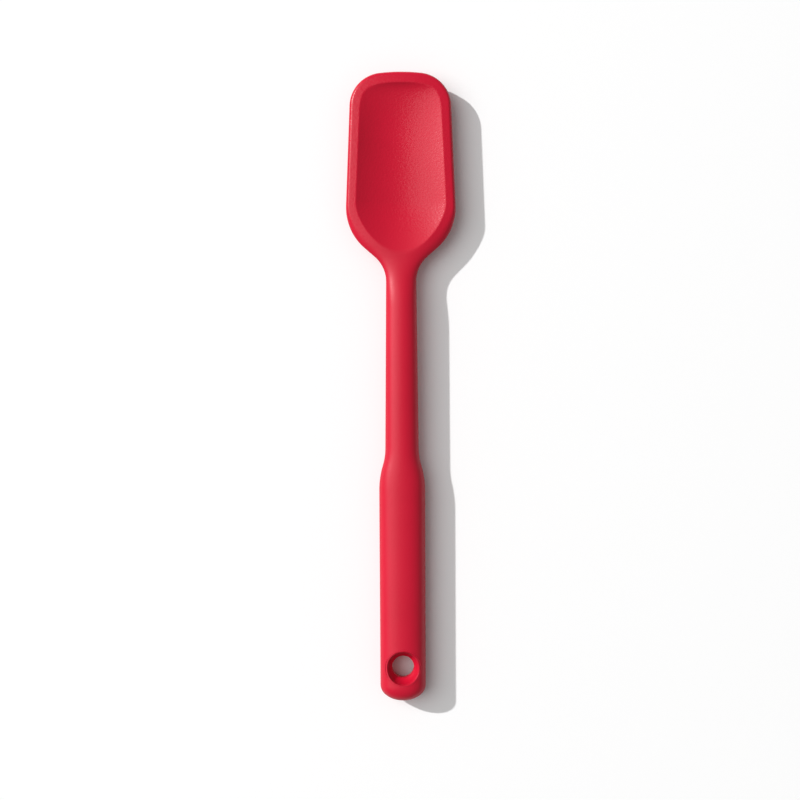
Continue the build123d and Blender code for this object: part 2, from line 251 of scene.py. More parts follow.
def top_height(y):
    """Height of the top at x = 0 before the bowl: shaft or handle, less the drop to the crest, plus the
    dome, less the arc that dips to the tip."""
    shaft = blend(SHAFT_TOP, HANDLE_HEIGHT, step_share(y))
    neck = blend(shaft, CREST_HEIGHT, ease((y - neck_drop_y) / (crest_y - neck_drop_y)))
    dome = DOME_RISE * ease((y - crest_y) / (widest_y - crest_y))
    tip_run = np.maximum(y - (tip_y - TIP_DOME_LENGTH), 0)
    return neck + dome - (TIP_DOME_RADIUS - np.sqrt(TIP_DOME_RADIUS ** 2 - tip_run ** 2))


def bottom_height(y):
    """Height of the underside at x = 0: handle, shaft, belly and the square curve up to the tip."""
    neck_share = ease((y - shaft_start_y) / (neck_drop_y - shaft_start_y))
    shaft = blend(blend(SHAFT_FLOOR_GAP, NECK_FLOOR_GAP, neck_share), 0, step_share(y))
    belly = blend(shaft, 0, ease((y - neck_drop_y) / (NECK_DROP_START - BELLY_START)))
    back_share = np.maximum(1 - (tip_y + BACK_RISE_OVERRUN - y) / BACK_RISE_LENGTH, 0)
    return belly + (RIM_FLOOR_GAP - PARTING_LAND) * back_share ** 2


def back_radius(y):
    """Radius of the back's arc, which meets the rim's height at the widest place."""
    depth = RIM_FLOOR_GAP - bottom_height(y)
    return (HEAD_HALF_WIDTH ** 2 + depth ** 2) / (2 * depth)


def middle_arc(y, up):
    """Height at x = 0 and radius of the arc across: of the top if up is 1, of the back if it is -1."""
    return (top_height(y), DOME_RADIUS) if up == 1 else (bottom_height(y), back_radius(y))


def arc_height(x, y, up):
    """Height of the dome or of the back: a circle's arc across the head."""
    level, radius = middle_arc(y, up)
    return level - up * (radius - np.sqrt(np.maximum(radius ** 2 - x ** 2, 0)))


print("top at hole, middle, neck and head:", top_height(printed_places).round(2), "mm up")

# %% [markdown]
# The bowl
# The bowl is a formula of its own: a trough with the same parabola across the head nearly all the way,
# a short wall at the tip and a ramp up to the neck. A scoop of one radius would be simpler, but its
# edge would be an oval, and the real bowl's edge keeps its distance from the sides of the head.

# %% Height of the bowl
BOWL_DEPTH = 4.4
BOWL_HALF_WIDTH = 23.42
BOWL_TAPER_ANGLE = 3.29
BOWL_FROM_TIP = 6.05
BOWL_LENGTH = 85.14
TIP_WALL_REACH = 1.8
TIP_WALL_LEAN = 0.356
TIP_SHALLOWING = 0.7
TIP_SHALLOWING_LENGTH = 34.0
BACK_RAMP_LENGTH = 25.5
BACK_RAMP_POWER = 1.58

bowl_tip_y = tip_y - BOWL_FROM_TIP
bowl_end_y = bowl_tip_y - BOWL_LENGTH


def bowl_height(x, y):
    """Height of the bowl: the crest less a share of the depth. The share is 1 less a parabola across,
    less the tip's wall, which dies away as an exponential and leans back towards its corners, less the
    back's ramp, a power of the way along it. Towards the tip the depth shrinks by a parabola."""
    width = BOWL_HALF_WIDTH - math.tan(math.radians(BOWL_TAPER_ANGLE)) * (y - widest_y)
    across = (x / width) ** 2
    inside = bowl_tip_y - y
    wall = np.exp(-inside / (TIP_WALL_REACH * (1 + TIP_WALL_LEAN * across)))
    ramp = (np.maximum(bowl_end_y + BACK_RAMP_LENGTH - y, 0) / BACK_RAMP_LENGTH) ** BACK_RAMP_POWER
    shallowing = TIP_SHALLOWING * np.maximum(1 - inside / TIP_SHALLOWING_LENGTH, 0) ** 2
    return CREST_HEIGHT - BOWL_DEPTH * (1 - shallowing) * (1 - across - wall - ramp)


middle_places = np.linspace(bowl_end_y, bowl_tip_y)
print("bowl from", round(bowl_end_y, 1), "to", round(bowl_tip_y, 1), "mm")
print("bowl's lowest point", bowl_height(0 * middle_places, middle_places).min().round(2), "mm up")

# %% [markdown]
# The section of handle, shaft and neck
# A quarter of the section is two curves that meet at a split point, so it can be nearly an ellipse on
# the shaft and nearly a flat slab on the shoulders of the head. The slab's split point is where a ball
# that rolls along its upright edge touches the dome or the back. Over the neck, the split point, the
# slope there and the height of the side pass smoothly from the shaft's to the slab's.

# %% Edge and side of the section
RIM_RADIUS = 2.1
LIP_RADIUS = 1.0
FORM_CHANGE_START = 94.0
FORM_CHANGE_LENGTH = 27.0
SIDE_DIP = 0.8

form_start_y = tip_y - FORM_CHANGE_START
form_end_y = form_start_y + FORM_CHANGE_LENGTH


def slab_quadrant(y, up):
    """Split point, slope and wall end where a ball rolls between the arc and the upright edge. The
    ball's centre is one radius inside the edge, on a circle one radius inside the arc's."""
    level, radius = middle_arc(y, up)
    width = half_width(y)
    ball = RIM_RADIUS if up == 1 else LIP_RADIUS
    rise = np.sqrt(np.maximum((radius - ball) ** 2 - (width - ball) ** 2, 0))
    reach = radius / (radius - ball)
    split_x = (width - ball) * reach
    split_z = level - up * (radius - rise * reach)
    wall = level - up * (radius - rise)
    return split_x, split_z, np.arctan2(width - ball, rise), wall


def slab_walls(y):
    """Heights at which the head's upright edge ends, above and below."""
    return [slab_quadrant(y, up)[3] for up in (1, -1)]


def head_share(y):
    """0 where the section is the shaft's, 1 where it is the head's."""
    return ease((y - form_start_y) / FORM_CHANGE_LENGTH)


def side_height(y):
    """Height of the middle of the section's side: half way up the shaft, half way up the head's upright
    edge, and a little lower between them."""
    shaft_y = np.minimum(y, neck_drop_y)
    shaft = (top_height(shaft_y) + bottom_height(shaft_y)) / 2
    slab = sum(slab_walls(np.maximum(y, form_end_y))) / 2
    share = head_share(y)
    return blend(shaft, slab, share) - SIDE_DIP * share * (1 - share) * 4


print("side's middle at handle, shaft, neck and head:", side_height(printed_places).round(2), "mm up")

# %% [markdown]
# Curves that answer for x
# To carry the section into a surface, its height is wanted for a place x across the tool. But a cubic
# curve gives x and height for a third number, its parameter. Halving an interval two dozen times finds
# that number for a whole array at once, and needs no more than a test that turns over once on the way.

# %% Cubic curves and halving
HALVINGS = 26


def cubic(u, a, b, c, d):
    """Cubic curve through a and d with handles b and c."""
    v = 1 - u
    return v ** 3 * a + 3 * v * v * u * b + 3 * v * u * u * c + u ** 3 * d


def handle_reach(turn):
    """How far a curve's handles reach towards its corner to follow a round arc: 4/3 of the tangent of a
    quarter of its turn, as a share of the tangent of half of it."""
    return 4 / 3 * np.tan(turn / 4) / np.tan(turn / 2)


def halve(low, high, is_short):
    """Where a test turns from true to false between low and high: the half that holds the turn is
    kept, again and again."""
    for halving in range(HALVINGS):
        middle = (low + high) / 2
        short = is_short(middle)
        low, high = np.where(short, middle, low), np.where(short, high, middle)
    return (low + high) / 2


def find_parameter(x, a, b, c, d):
    """Parameter at which a rising cubic reaches x."""
    return halve(np.zeros_like(x), np.ones_like(x), lambda u: cubic(u, a, b, c, d) < x)


print("an eased step is half way at parameter", find_parameter(np.array([0.5]), 0, 0, 1, 1).round(3))

# %% [markdown]
# Height of the section
# Both curves of a quarter start from the split point. One runs to the middle of the tool and ends
# level, the other runs to the side and ends upright. The handles that shape them follow from the slope
# at the split point, so that they join without an edge.

# %% Height of handle, shaft and neck
SHAFT_SPLIT_SHARE = 0.72
HANDLE_SPLIT_SHARE = 0.74


def round_height(x, y, up):
    """Height of handle, shaft and neck: two cubics from the middle over the split point to the side."""
    width, level, share = half_width(y), middle_arc(y, up)[0], head_share(y)
    slab_x, slab_z, slab_slope, slab_wall = slab_quadrant(y, up)
    split_share = blend(SHAFT_SPLIT_SHARE, HANDLE_SPLIT_SHARE, step_share(y))
    shaft_y = np.minimum(y, form_start_y)
    shaft_level = middle_arc(shaft_y, up)[0]
    shaft_slope = np.arctan2(np.abs(shaft_level - side_height(shaft_y)), half_width(shaft_y))
    land = slab_walls(np.maximum(y, widest_y))
    wall = side_height(y) + up * blend(PARTING_LAND, land[0] - land[1], share) / 2
    split_x = width * blend(split_share, slab_x / width, share)
    split_z = blend(wall, level, blend(split_share, (slab_z - slab_wall) / (level - slab_wall), share))
    slope = blend(shaft_slope, slab_slope, share)
    near, far = handle_reach(slope), handle_reach(math.pi / 2 - slope)
    corner = split_x - np.abs(level - split_z) / np.tan(slope)
    drop = split_z - up * (width - split_x) * np.tan(slope)
    x = np.clip(x, 0, width)
    first = (0 * x, corner * near, split_x + (corner - split_x) * near, split_x)
    first_z = (level, level, split_z + (level - split_z) * near, split_z)
    second = (split_x, split_x + (width - split_x) * far, width, width)
    second_z = (split_z, split_z + (drop - split_z) * far, wall + (drop - wall) * far, wall)
    inner = cubic(find_parameter(np.minimum(x, split_x), *first), *first_z)
    outer = cubic(find_parameter(np.maximum(x, split_x), *second), *second_z)
    return np.where(x <= split_x, inner, outer)


across_shaft = np.linspace(0, SHAFT_HALF_WIDTH, 4)
print("shaft's top across it:", round_height(across_shaft, 0 * across_shaft, 1).round(2), "mm up")

# %% [markdown]
# Height of the head
# The head's top and back are plain arcs, and their edge at the outline is rounded by a rolling ball.
# Inside the ball's reach, the surface is the ball's own: its centre lies on the line square to the
# outline, one radius inside it, and one radius from the arc.

# %% Height of the head, its rims rounded by a rolling ball
SLOPE_STEP = 0.01


def head_height(x, y, up):
    """Height of dome or back, and near the outline the height of a ball that rolls along the wall and
    touches the arc. Its centre is off the arc's height by its radius times the root of 1 plus the
    slope squared."""
    ball = RIM_RADIUS if up == 1 else LIP_RADIUS
    distance, out_x, out_y = inside_edge(x, y)
    inwards = np.clip(ball - distance, 0, ball)
    centre_x, centre_y = x - inwards * out_x, y - inwards * out_y
    at_centre = arc_height(centre_x, centre_y, up)
    ahead = arc_height(centre_x + SLOPE_STEP * out_x, centre_y + SLOPE_STEP * out_y, up)
    lean = -up * (ahead - at_centre) / SLOPE_STEP
    run = np.sqrt(1 + lean ** 2)
    centre_z = at_centre - up * ball * run
    rolled = centre_z + up * np.sqrt(np.maximum(ball ** 2 - inwards ** 2, 0))
    return np.where(inwards > ball * lean / run, rolled, arc_height(x, y, up))


edge_heights = [round(float(head_height(0, tip_y, up)), 2) for up in (-1, 1)]
print("upright edge at the tip, mm up:", edge_heights)

# %% [markdown]
# One height for the whole skin
# The tail is the last section turned round, squeezed to the tail's length. A place there has the height
# of the section at the same reach. Where the bowl lies lower than the dome, the bowl wins, with a small
# rounding, because a mould's edge is never knife sharp and silicone shows it as a soft line of light.
# At the neck the rounding grows, so that the bowl's ramp runs out into the neck with hardly an edge,
# and it grows a little at the tip as well.

# %% The skin's top and underside
CREASE_ROUNDING = 0.16
NECK_ROUNDING = 0.5
TIP_ROUNDING = 0.35
NECK_ROUNDING_LENGTH = 4.0
TIP_ROUNDING_LENGTH = 6.0

even_from_y = bowl_end_y + NECK_ROUNDING_LENGTH
even_to_y = bowl_tip_y - TIP_ROUNDING_LENGTH
rounding_places = [bowl_end_y, even_from_y, even_to_y, bowl_tip_y]
rounding_sizes = [NECK_ROUNDING, CREASE_ROUNDING, CREASE_ROUNDING, TIP_ROUNDING]


def soft_lower(a, b, rounding):
    """The lower of two heights, less a parabola where they differ by under the rounding."""
    near = np.maximum(rounding - np.abs(a - b), 0) / rounding
    return np.minimum(a, b) - near ** 2 * rounding / 4


def plain_height(x, y, up):
    """Height of the skin before the bowl and the hanging hole."""
    squeeze = TAIL_ROUND_LENGTH / TAIL_HALF_WIDTH
    past_tail = np.maximum(tail_section_y - y, 0) / squeeze
    reach = np.hypot(x, past_tail)
    rounded = round_height(reach, np.clip(y, tail_section_y, form_end_y), up)
    return np.where(y >= form_end_y, head_height(x, y, up), rounded)


def skin_height(x, y, up):
    """Height of the finished skin outside the hanging hole."""
    plain = plain_height(x, y, up)
    if up == -1:
        return plain
    return soft_lower(plain, bowl_height(x, y), np.interp(y, rounding_places, rounding_sizes))


# %% [markdown]
# Rows from the middle to the edge
# The surface is one grid. A row starts in the middle of the tool and runs out to the outline, over the
# rim and back underneath. Along most of the tool the rows lie straight across. Round the hanging hole
# they start on a ring, like spokes, and at the tip they fan out to follow the rounded corner, so the
# faces stay even and no pole is left. Only the right half is worked out. The left is its mirror image.

# %% Rows round the hanging hole
RING_RADIUS = 9.0
HOLE_ROWS = 56
STEEPEST_SPOKE = -1.0

spoke_turns = np.linspace(-math.pi / 2, math.pi / 2, HOLE_ROWS + 1)


def hole_rows():
    """Spokes round the hanging hole: straight out to the tail and the side, and ahead of the hole
    closer together, as the sine of their angle. Spokes steeper than 1 radian all end on the tail."""
    c, s = np.cos(spoke_turns), np.sin(spoke_turns)
    a, b = TAIL_HALF_WIDTH, TAIL_ROUND_LENGTH
    squares = (c / a) ** 2 + (s / b) ** 2
    half = s * (hole_y - tail_section_y) / b ** 2
    rest = ((hole_y - tail_section_y) / b) ** 2 - 1
    reach = (-half + np.sqrt(np.maximum(half ** 2 - squares * rest, 0))) / squares
    tail = hole_y + reach * s < tail_section_y
    straight = np.tan(np.clip(spoke_turns, STEEPEST_SPOKE, 0))
    flat_y = hole_y + np.where(spoke_turns < 0, straight, s) * TAIL_HALF_WIDTH
    end_x = np.where(tail, reach * c, half_width(np.maximum(flat_y, tail_section_y)))
    end_y = np.where(tail, hole_y + reach * s, flat_y)
    end_x[0] = 0
    start_x = RING_RADIUS * c
    start_x[[0, -1]] = 0
    return np.stack([start_x, hole_y + RING_RADIUS * s, end_x, end_y], 1)


print("rows round the hole:", len(hole_rows()))

# %% [markdown]
# Rows straight across
# Ahead of the hole, the rows lie straight across, up to 2 mm apart on the handle and the shaft, and
# closer where the form changes: on the handle's shoulder, the neck and the head. The first ones start
# a little behind the place where they end, because they follow the ring round the hole.

# %% Rows along handle, shaft and head
FAN_START_Y = 136.0
SETTLE_LENGTH = 14.0
ROW_GAPS = {"handle": 1.9, "shoulder": 1.0, "shaft": 2.0, "neck": 1.1, "head": 0.62}

first_row_y = hole_y + TAIL_HALF_WIDTH
row_stops = [first_row_y, handle_end_y, shaft_start_y, neck_drop_y, form_start_y, FAN_START_Y]


def straight_rows():
    """Rows straight across, evenly spaced from each stop to the next. Just after the hole the middle
    catches up with the edge."""
    pieces = []
    for start, end, gap in zip(row_stops[:-1], row_stops[1:], ROW_GAPS.values()):
        count = math.ceil((end - start) / gap)
        pieces.append(np.linspace(start, end, count + 1)[1:])
    y = np.concatenate(pieces)
    behind = (TAIL_HALF_WIDTH - RING_RADIUS) * (1 - ease((y - first_row_y) / SETTLE_LENGTH))
    return np.stack([0 * y, y - behind, half_width(y), y], 1)


print("rows straight across:", len(straight_rows()))

# %% [markdown]
# Rows of the tip
# Straight rows would end in a pinch at the tip, where the outline itself runs across. So the last rows
# turn like the ribs of a fan, each one ending square to the outline.

# %% Rows that fan out at the tip
FAN_END_Y = 148.5
TIP_ROW_GAP = 0.6


def fan_rows():
    """Rows of the tip: their ends are evenly spaced along side, corner and crown, and their starts
    slide up the middle, slowing down as the square of what is left."""
    side_end_y = corner_y + CORNER_RADIUS * math.sin(side_out)
    side_length = (side_end_y - FAN_START_Y) * side_run
    corner_length = CORNER_RADIUS * (crown_out - side_out)
    crown_length = CROWN_RADIUS * (math.pi / 2 - crown_out)
    total = side_length + corner_length + crown_length
    s = np.linspace(0, total, math.ceil(total / TIP_ROW_GAP) + 1)[1:]
    y_side = FAN_START_Y + np.minimum(s, side_length) / side_run
    turn = side_out + np.clip(s - side_length, 0, corner_length) / CORNER_RADIUS
    crown_turn = crown_out + np.maximum(s - side_length - corner_length, 0) / CROWN_RADIUS
    on_side, on_crown = s <= side_length, s > side_length + corner_length
    x = np.where(on_side, side_line[0] + side_slope * y_side, corner_x + CORNER_RADIUS * np.cos(turn))
    y = np.where(on_side, y_side, corner_y + CORNER_RADIUS * np.sin(turn))
    x = np.where(on_crown, CROWN_RADIUS * np.cos(crown_turn), x)
    y = np.where(on_crown, crown_centre_y + CROWN_RADIUS * np.sin(crown_turn), y)
    x[-1] = 0
    start_y = blend(FAN_START_Y, FAN_END_Y, 1 - (1 - s / total) ** 2)
    return np.stack([0 * s, start_y, x, y], 1)


rows = np.concatenate([hole_rows(), straight_rows(), fan_rows()])
inner_x, inner_y, outer_x, outer_y = rows.T[:, :, None]
row_length = np.hypot(outer_x - inner_x, outer_y - inner_y)
in_fan = outer_y > FAN_START_Y
print("rows in all:", len(rows), "the longest", row_length.max().round(2), "mm")

# %% [markdown]
# The bowl's crease on each row
# The bowl's edge is a line of light on the real tool, so a column of points has to run along it. It is
# found on every row at once, again by halving: it is where the bowl's height passes the dome's. Where
# a row misses the bowl, the search ends at a plain share of the row, which does no harm.

# %% Places along the rows, and the crease
CREASE_SHARE_MOST = 0.73
CREASE_SHARE_PLAIN = 0.5
CREASE_RUN_IN = 10.0
FAN_CREASE_REACH = 12.0


def row_places(share):
    """Places along the rows, from 0 at the outline to 1 at the start. In the fan the path leaves the
    outline square to it and bends to the middle, as a quadratic curve. Elsewhere it is straight."""
    out_x, out_y = inside_edge(outer_x, outer_y)[1:]
    square_x = outer_x - out_x * row_length / 2
    square_y = outer_y - out_y * row_length / 2
    bend_x = np.where(in_fan & (outer_x > 0), square_x, (inner_x + outer_x) / 2)
    bend_y = np.where(in_fan, square_y, (inner_y + outer_y) / 2)
    u = 1 - share
    x = u * u * outer_x + 2 * u * share * bend_x + share * share * inner_x
    y = u * u * outer_y + 2 * u * share * bend_y + share * share * inner_y
    return np.maximum(x, 0), y


def find_crease():
    """Distance from the outline to the bowl's crease on each row, or a plain share of the row."""
    at_bowl = ease((outer_y - bowl_end_y + CREASE_RUN_IN) / CREASE_RUN_IN)
    most = blend(CREASE_SHARE_PLAIN, CREASE_SHARE_MOST, at_bowl)
    most = np.where(in_fan, np.minimum(most, FAN_CREASE_REACH / row_length), most)

    def outside_bowl(share):
        """Whether the bowl's formula lies above the dome, so that the dome is the surface."""
        x, y = row_places(share)
        return bowl_height(x, y) > plain_height(x, y, 1)

    return halve(np.zeros_like(most), most, outside_bowl) * row_length


crease = find_crease()
print("at the tip, the crease lies", round(float(crease[-1, 0]), 2), "mm inside the edge")

# %% [markdown]
# Columns along each row
# On a row, the columns crowd together at the outline, where the skin turns over, and on both sides of
# the bowl's crease, where the light changes. Even columns would waste points on the flat parts.

# %% Points of the right half
RIM_COLUMNS = 20
FLOOR_COLUMNS = 24
BACK_RIM_COLUMNS = 14
BACK_RIM_REACH = 6.0
BACK_RIM_SHARE = 0.5
BACK_COLUMNS = 15
crease_offsets = np.array([-0.6, -0.32, -0.12, 0.12, 0.32, 0.6])


def crowded(count):
    """Shares of a stretch that crowd together at its start, as the square of even steps."""
    return (np.arange(count) / count) ** 2


rim = crowded(RIM_COLUMNS) * (crease + crease_offsets[0])
band = crease + crease_offsets
floor_share = np.arange(1, FLOOR_COLUMNS + 1) / FLOOR_COLUMNS
floor_part = blend(band[:, -1:], row_length, floor_share)
top_share = np.concatenate([rim, band, floor_part], 1) / row_length
back_reach = np.minimum(BACK_RIM_REACH, BACK_RIM_SHARE * row_length)
back_rim = crowded(BACK_RIM_COLUMNS) * back_reach
back_share = np.arange(BACK_COLUMNS + 1) / BACK_COLUMNS
back_part = blend(back_reach, row_length, back_share)
under_share = np.concatenate([back_rim, back_part], 1) / row_length


def skin_points(share, up):
    """Points of the top or the underside at shares of each row."""
    x, y = row_places(share)
    on_middle = (inner_x == 0) & (share >= 1 - TINY) | (outer_x == 0)
    x = np.where(on_middle, 0, x)
    return np.stack([x, y, skin_height(x, y, up)], 2)


top_points = skin_points(top_share, 1)
under_points = skin_points(under_share, -1)
half_points = np.concatenate([top_points[:, ::-1], under_points], 1)
print("half grid:", half_points.shape[:2], "lowest", round(float(half_points[..., 2].min()), 3), "mm")

# %% [markdown]
# The hanging hole
# The hole is a short bore between two dished sinks, so that it hangs on a hook from either side. A
# plain cone would do as a sink, but the real one is hollow like a saucer. So its profile is part of a
# circle, which three points fix: the edge of the bore, the edge of the sink and one between them.

# %% Dish of the sink
BORE_RADIUS = 5.5
BORE_LENGTH = 4.4
SINK_RADIUS = 8.4
SINK_DISH_SHARE = 0.72


def dish_arc():
    """Centre, radius and end angles of the dish: the circle through the bore's edge, a middle point and
    the sink's edge, in distance from the hole's axis and height above the middle."""
    middle = HANDLE_HEIGHT / 2
    a = np.array([BORE_RADIUS, BORE_LENGTH / 2])
    b = np.array([blend(BORE_RADIUS, SINK_RADIUS, SINK_DISH_SHARE), (BORE_LENGTH / 2 + middle) / 2])
    c = np.array([SINK_RADIUS, middle])
    twice = 2 * np.stack([b - a, c - a])
    centre = np.linalg.solve(twice, np.array([b @ b - a @ a, c @ c - a @ a]))
    radius = np.hypot(*(a - centre))
    turns = [math.atan2(*(p - centre)[::-1]) for p in (a, c)]
    return centre, radius, turns


dish_centre, dish_radius, dish_turns = dish_arc()


def dish_point(turn):
    """Distance from the axis and height above the middle on the dish, at an angle of its arc."""
    return dish_centre[0] + dish_radius * np.cos(turn), dish_centre[1] + dish_radius * np.sin(turn)


print("the dish's profile has a radius of", round(float(dish_radius), 2), "mm")

# %% [markdown]
# Edge of the sink
# The handle's top is round, so the dish comes out of it lower at the sides than along the middle. The
# place is found on every spoke at once, by halving the dish's arc.

# %% Where the dish comes out of the handle
spoke = spoke_turns[:, None]


def handle_above(reach):
    """Height of the handle's top above the middle, at a distance from the hole's axis on each spoke."""
    x, y = reach * np.cos(spoke), hole_y + reach * np.sin(spoke)
    return plain_height(x, y, 1) - HANDLE_HEIGHT / 2


def sink_edge():
    """Angle of the dish's arc at which it comes out of the handle, on each spoke."""
    def inside_handle(turn):
        """Whether the dish lies lower than the handle's top at an angle of its arc."""
        reach, height = dish_point(turn)
        return height < handle_above(reach)

    return halve(dish_turns[0] + 0 * spoke, dish_turns[1] + 0 * spoke, inside_handle)


edge_turn = sink_edge()
edge_reach, edge_height = dish_point(edge_turn)
print("sink comes out at", edge_reach.min().round(2), "to", edge_reach.max().round(2), "mm")

# %% [markdown]
# Through the hole
# Each spoke goes on from its ring over the sink's rounded edge, down the dish, round a smaller edge and
# through the bore. The lower half is the upper half turned over, because the handle is as round below
# as above. The dish is about 6 mm long, so a share of its angle stands for a length on it.

# %% Spokes through the hanging hole
EDGE_REACH = 0.38
BORE_EDGE = 0.3
DISH_LENGTH = 6.0
EDGE_POINTS = 7
DISH_POINTS = 15
BORE_EDGE_POINTS = 5
BORE_POINTS = 4
ring_shares = np.array([1, 0.5])


def bent(start, corner, end, count):
    """Quadratic curve from start to end that leaves each towards the corner."""
    u = np.linspace(0, 1, count)[None, :, None]
    return (1 - u) ** 2 * start[:, None] + 2 * u * (1 - u) * corner[:, None] + u * u * end[:, None]


ring_start = edge_reach + EDGE_REACH
ring = blend(ring_start, RING_RADIUS, ring_shares)
ring_points = np.stack([ring, handle_above(ring)], 2)
outer = np.stack([ring_start, handle_above(ring_start)], 2)[:, 0]
sharp = np.stack([edge_reach, edge_height], 2)[:, 0]
inner_turn = blend(edge_turn, dish_turns[0], EDGE_REACH / DISH_LENGTH)
inner = np.stack(dish_point(inner_turn), 2)[:, 0]
rounded_edge = bent(outer, sharp, inner, EDGE_POINTS)
dish_end = dish_turns[0] + BORE_EDGE / dish_radius
dish_turn = blend(inner_turn, dish_end, np.linspace(0, 1, DISH_POINTS))
dish = np.stack(dish_point(dish_turn), 2)[:, 1:]
bore_top = BORE_LENGTH / 2
bore_corner = np.tile([BORE_RADIUS, bore_top], (len(spoke), 1))
bore_start = np.tile([BORE_RADIUS, bore_top - BORE_EDGE], (len(spoke), 1))
bore_edge = bent(dish[:, -1], bore_corner, bore_start, BORE_EDGE_POINTS)[:, 1:]
bore_levels = np.linspace(bore_top - BORE_EDGE, 0, BORE_POINTS)[1:]
bore = np.stack(np.broadcast_arrays(BORE_RADIUS, bore_levels + 0 * spoke), 2)
upper = np.concatenate([ring_points, rounded_edge, dish, bore_edge, bore], 1)
profile = np.concatenate([upper, upper[:, -2::-1] * [1, -1]], 1)
reach, above = profile[..., 0], profile[..., 1]
hole_x = reach * np.cos(spoke)
hole_x[[0, -1]] = 0
hole_points = np.stack([hole_x, hole_y + reach * np.sin(spoke), HANDLE_HEIGHT / 2 + above], 2)
print("hole grid:", hole_points.shape[:2])

# %% [markdown]
# One closed mesh
# The two grids of the right half, and their mirror images with the faces' order turned round, go into
# one mesh. Points that lie on each other are then merged, which closes the skin along its middle and
# round the hole. A closed skin has a volume, and its sign tells whether the faces look outwards.

# %% Build the skin
MERGE_DISTANCE = 0.003
SLIVER_LENGTH = 0.0005


def grid_faces(row_count, column_count):
    """Corners of each face of a grid, as places in its list of points."""
    index = np.arange(row_count * column_count).reshape(row_count, column_count)
    corners = [index[:-1, :-1], index[:-1, 1:], index[1:, 1:], index[1:, :-1]]
    return np.stack(corners, -1).reshape(-1, 4)


def closed_mesh(name, grids):
    """Mesh of the given grids and their mirror images across x = 0, with doubles merged."""
    points, faces, count = [], [], 0
    for grid in grids:
        quads = grid_faces(*grid.shape[:2])
        for side in (1, -1):
            points.append(grid.reshape(-1, 3) * [side, 1, 1])
            faces.append((quads if side == 1 else quads[:, ::-1]) + count)
            count += len(points[-1])
    mesh = bpy.data.meshes.new(name)
    mesh.from_pydata(np.concatenate(points) * MM, [], np.concatenate(faces).tolist())
    work = bmesh.new()
    work.from_mesh(mesh)
    bmesh.ops.remove_doubles(work, verts=work.verts, dist=MERGE_DISTANCE * MM)
    bmesh.ops.dissolve_degenerate(work, edges=work.edges, dist=SLIVER_LENGTH * MM)
    open_edges = sum(not edge.is_manifold for edge in work.edges)
    volume = work.calc_volume(signed=True) / MM ** 3
    if volume < 0:
        bmesh.ops.reverse_faces(work, faces=work.faces)
    work.to_mesh(mesh)
    work.free()
    mesh.shade_smooth()
    print(name, "faces", len(mesh.polygons), "open edges", open_edges, "volume", round(volume), "mm3")
    return mesh


skin_mesh = closed_mesh("moulded_silicone", [half_points, hole_points])
skin = bpy.data.objects.new("moulded_silicone", skin_mesh)
scene.collection.objects.link(skin)
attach(skin, "root")
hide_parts("silicone_skin")

# %% [markdown]
# Against the solids
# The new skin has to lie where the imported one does, and it must cover the core. So points spread over
# it are measured to the nearest place of the solid, and the silicone's height above and below the
# core's own points comes from the formulas.

# %% Measure the skin
CHECKED_POINTS = 4000


def mesh_points(piece):
    """Places of a mesh's points, in metres."""
    points = np.empty(len(piece.data.vertices) * 3, np.float32)
    piece.data.vertices.foreach_get("co", points)
    return points.reshape(-1, 3)


def print_furthest(piece, solid):
    """Prints the greatest distance from points spread over the piece to the solid's surface."""
    points = mesh_points(piece)
    points = points[::max(len(points) // CHECKED_POINTS, 1)]
    triangles = [face.vertices for face in solid.data.polygons]
    tree = BVHTree.FromPolygons(mesh_points(solid).tolist(), triangles)
    gaps = np.array([tree.find_nearest(point)[3] for point in points]) / MM
    worst = points[gaps.argmax()] / MM
    print("the skin lies at most", round(float(gaps.max()), 3), "mm from the solid, at", worst.round(1))


def least_cover(solid):
    """Least height of silicone above and below the core's own points, in millimetres."""
    x, y, z = mesh_points(solid).T.astype(float) / MM
    return [round(float((up * (skin_height(np.abs(x), y, up) - z)).min()), 2) for up in (1, -1)]


print_furthest(skin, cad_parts["silicone_skin"])
print("silicone above and below the core, mm:", least_cover(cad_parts["nylon_core"]))

# %% [markdown]
# Writing a finish as sums
# A material is a net of nodes, which is hard to read as boxes and lines. Here a small class stands for
# one socket, and a sum, a difference or a product of two of them adds the Math node that works it out.

# %% A socket that works like a number
class Value:
    """One output socket, which can be added, subtracted and multiplied like a number."""

    def __init__(self, net, socket):
        self.net, self.socket = net, socket

    def work_out(self, operation, first, second):
        """Adds the Math node for one step of a sum."""
        return self.net.node("ShaderNodeMath", {"operation": operation}, {0: first, 1: second})

    def __add__(self, other):
        return self.work_out("ADD", self, other)

    def __sub__(self, other):
        return self.work_out("SUBTRACT", self, other)

    def __rsub__(self, other):
        return self.work_out("SUBTRACT", other, self)

    def __mul__(self, other):
        return self.work_out("MULTIPLY", self, other)

    __radd__ = __add__
    __rmul__ = __mul__


# %% [markdown]
# All other nodes
# Any other node comes from one method, which takes its type, its settings and the values or links of
# its sockets. Noise, a ramp, a mix of two colours and a bump are needed so often that each has a short
# form. The room's light is made of nodes like a material, so it uses the same class.

